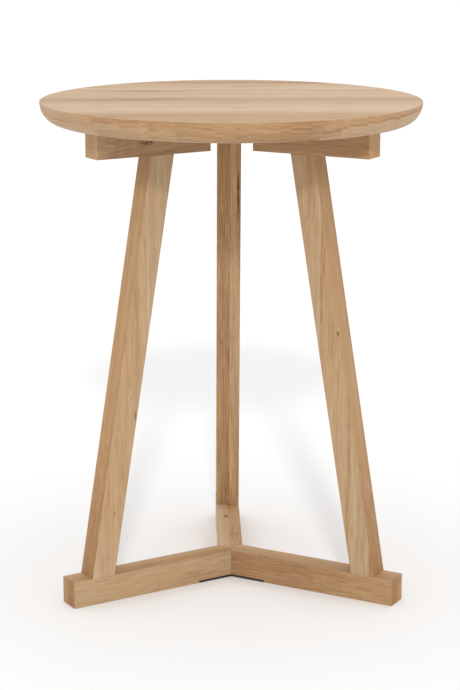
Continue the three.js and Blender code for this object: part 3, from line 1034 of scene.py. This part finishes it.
# For end_grain: where the piece starts and ends in mm, then its end faces' tone and warmth. Only a beam's
# outer end shows, so its start is set past the hub.
BEAM_ENDS = (-50, BEAM_REACH / MM, -0.09, 0.30)
BEAM_GRAIN = {
    "rear": dict(
        rings=0.8, tone=0.01, warm=-0.05, ends=BEAM_ENDS,
        bands=Bands(1, [
            (-15, -0.02, 0.1), (-12, -0.02, 0.15), (-9, 0.02, 0.05), (-5, 0.0, 0.0), (-1.5, 0.05, 0.05),
            (-0.2, -0.06, 0.25), (0.9, 0.10, 0.0), (5, 0.12, 0.0), (8, 0.14, 0.0), (12, 0.17, 0.0),
            (15, 0.14, 0.08),
        ]),
        spots=[
            Spot((124, 3.8, 33), (10.5, 3.8, 6), -0.38, 0.0, 1.8),
            Spot((54, -2.5, 33), (12, 3.5, 6), -0.13, 0.2, 1.6),
            Spot((60, -5.5, 33), (6, 1.2, 4), 0.12, 0.0),
            Spot((30, 8, 33), (16, 5, 6), 0.08, -0.2, 1.4),
            Spot((170, -1, 33), (22, 1.6, 6), -0.16, 0.3),
        ]),
    "left": dict(
        rings=0.4, figure=0.5, tone=0.0, warm=0.0, ends=BEAM_ENDS,
        bands=Bands(1, [
            (-15, 0.03, 0.13), (-4, 0.03, 0.13), (-1, -0.06, 0.3), (8, -0.09, 0.32), (14, -0.04, 0.1),
            (14.9, 0.04, -0.06),
        ]),
        spots=[
            # Painted shade: darker near the hub, under the top.
            Spot((20, 15, 16), (70, 20, 45), -0.05, -0.08),
        ]),
    "right": dict(
        rings=0.4, figure=0.5, tone=0.0, warm=0.0, ends=BEAM_ENDS,
        bands=Bands(1, [
            (-15, -0.14, 0.14), (-12, -0.12, 0.15), (-8, -0.06, 0.15), (-3, -0.03, 0.1), (0, -0.07, 0.2),
            (4, 0.03, 0.07), (15, 0.04, 0.06),
        ]),
        spots=[
            # Painted shade and light: lighter towards the outer end, out from under the top, and darker near
            # the hub, under it.
            Spot((210, -15, 18), (120, 7, 45), 0.09, 0.0),
            Spot((8, -15, 16), (40, 7, 45), -0.05, 0.0),
            Spot((19, -15, 21), (1.2, 3, 4), 0.10),
            Spot((45, -15, 30), (1.5, 3, 4), 0.10),
            Spot((58, -15, 30), (1.8, 3, 3.5), 0.10),
            Spot((88, -15, 31.5), (5, 3, 1.2), 0.12),
        ]),
}
# The bearers' end faces are lifted by 0.15, which takes most of the sides' painted shade back off them.
BEARER_ENDS = (BEARER_START / MM, BEARER_END / MM, 0.15, 0.40)
BEARER_GRAIN = {
    "rear": dict(rings=0.5, tone=-0.03, warm=0.1, ends=BEARER_ENDS),
    # Painted shade: the left bearer's tone of -0.13 stands for the shade under the top.
    "left": dict(
        rings=0.5, figure=0.7, tone=-0.13, warm=-0.30, tilt=(-5, 0), ends=BEARER_ENDS,
        spots=[
            Spot((230, 15, 560), (90, 12, 60), 0.13, 0.1),
            Spot((118, 15, 558.5), (4, 4, 2.4), -0.16, -0.1, 1.2),
            Spot((125, 15, 556.8), (3.4, 4, 2.4), -0.15, -0.1, 1.2),
            Spot((131.5, 15, 558.5), (3.6, 4, 2.2), -0.15, -0.1, 1.2),
            Spot((125, 15, 558.8), (14, 5, 6), -0.20, 0.2, 0.8),
            Spot((105, 15, 550), (24, 4, 3), 0.07, -0.1),
        ]),
    # Painted shade: the right bearer's tone of -0.12 stands for the shade under the top.
    "right": dict(rings=0.4, figure=0.6, tone=-0.12, warm=0.05, ends=BEARER_ENDS),
}


# ---- Camera, light and floor ----
FLOOR_RADIUS = 800  # so wide that its edge is at the horizon
TABLE_TURN = math.radians(1.479)
CAMERA_DISTANCE = 2.4109
CAMERA_HEIGHT = 0.8715
CAMERA_PITCH = math.radians(13.418)
CAMERA_YAW = math.radians(-0.029)
CAMERA_ROLL = math.radians(-0.040)
CAMERA_LENS = 104.47


def add_camera():
    """The camera stands in front of the table, which is seen turned by TABLE_TURN about its axis."""
    data = bpy.data.cameras.new("camera")
    data.lens = CAMERA_LENS
    data.clip_end = 2.5 * FLOOR_RADIUS
    camera = bpy.data.objects.new("camera", data)
    bpy.context.scene.collection.objects.link(camera)
    turn = Matrix.Rotation(-TABLE_TURN, 4, "Z")
    stand = Matrix.Translation((0, -CAMERA_DISTANCE, CAMERA_HEIGHT))
    look = Matrix.Rotation(-CAMERA_YAW, 4, "Z") @ Matrix.Rotation(math.pi / 2 - CAMERA_PITCH, 4, "X")
    camera.matrix_world = turn @ stand @ look @ Matrix.Rotation(-CAMERA_ROLL, 4, "Z")
    bpy.context.scene.camera = camera


def add_sun(name, strength, direction, degrees):
    """A sun shining along direction, as wide as a source of that many degrees."""
    data = bpy.data.lights.new(name, "SUN")
    data.energy = strength
    data.angle = math.radians(degrees)
    light = bpy.data.objects.new(name, data)
    light.rotation_euler = Vector(direction).to_track_quat("-Z", "Y").to_euler()
    bpy.context.scene.collection.objects.link(light)


def soften_sides(node_tree, strength, drop):
    """A white world that is dimmer towards the left and the right, where the studio has no screens."""
    nodes, links = node_tree.nodes, node_tree.links
    direction = nodes.new("ShaderNodeSeparateXYZ")
    links.new(nodes.new("ShaderNodeTexCoord").outputs["Generated"], direction.inputs[0])
    square = nodes.new("ShaderNodeMath")
    square.operation = "MULTIPLY"
    links.new(direction.outputs[0], square.inputs[0])
    links.new(direction.outputs[0], square.inputs[1])
    dim = nodes.new("ShaderNodeMath")
    dim.operation = "MULTIPLY_ADD"
    links.new(square.outputs[0], dim.inputs[0])
    dim.inputs[1].default_value = -drop * strength
    dim.inputs[2].default_value = strength
    nodes["Background"].inputs["Color"].default_value = (1, 1, 1, 1)
    links.new(dim.outputs[0], nodes["Background"].inputs["Strength"])


def add_studio():
    """Light from all round, a sun from the front, a very wide one from above, and a pale floor."""
    world = bpy.data.worlds.new("studio")
    bpy.context.scene.world = world
    world.use_nodes = True
    soften_sides(world.node_tree, 0.76, 0.22)
    fall = math.radians(30)
    add_sun("front", 0.92, (0, math.cos(fall), -math.sin(fall)), 5)
    add_sun("overhead", 0.95, (0, 0, -1), 80)
    tree = Tree("floor")
    tree.finish((0.9, 0.9, 0.9, 1), 0.9, Specular_IOR_Level=0.0)
    bm = bmesh.new()
    bmesh.ops.create_circle(bm, cap_ends=True, radius=FLOOR_RADIUS, segments=64)
    floor = object_of(bm, "floor")
    floor.data.materials.append(tree.material)


def leg_materials(side, seed):
    """Material 0 for a leg's two sides and material 1 for its inner and outer faces.

    The figured wood is on the faces that are seen the most: the rear leg's inner one, and the others' sides.
    """
    figured = oak(f"oak_leg_{side}", seed, **LEG_GRAIN[side])
    flat = oak(f"oak_leg_flat_{side}", seed + 0.4, pith=(120, 30), rings=0.4, figure=0.5, **LEG_FLAT)
    return (flat, figured) if side == "rear" else (figured, flat)


def build():
    """Every piece that shows, in the place of its node."""
    rim = rim_material()
    for index, material in enumerate(top_materials()):
        board(index, [material, rim])
    for number, side in enumerate(ARMS):
        seed = 11.3 + 4.7 * number
        beam = oak(f"oak_beam_{side}", seed, **BEAM_GRAIN[side])
        place(beam_mesh(side), f"base_beam_{side}", beam, "oak_frame")
        upright = leg_mesh(side)
        for material in leg_materials(side, seed + 1.9):
            upright.data.materials.append(material)
        place(upright, f"leg_{side}", None, "oak_frame")
        bearer = oak(f"oak_bearer_{side}", seed + 3.1, **BEARER_GRAIN[side])
        place(bearer_mesh(side), f"bearer_{side}", bearer, "oak_frame")
    add_hardware()


def shade_timber():
    """Shades the frame's timber, once it is all cut."""
    for piece in bpy.context.scene.objects:
        if piece.name.startswith(("beam_", "leg_upright_", "bearer_rail_")):
            shade(piece)


build()
shade_timber()
add_camera()
add_studio()
bpy.context.scene.view_settings.view_transform = "Standard"
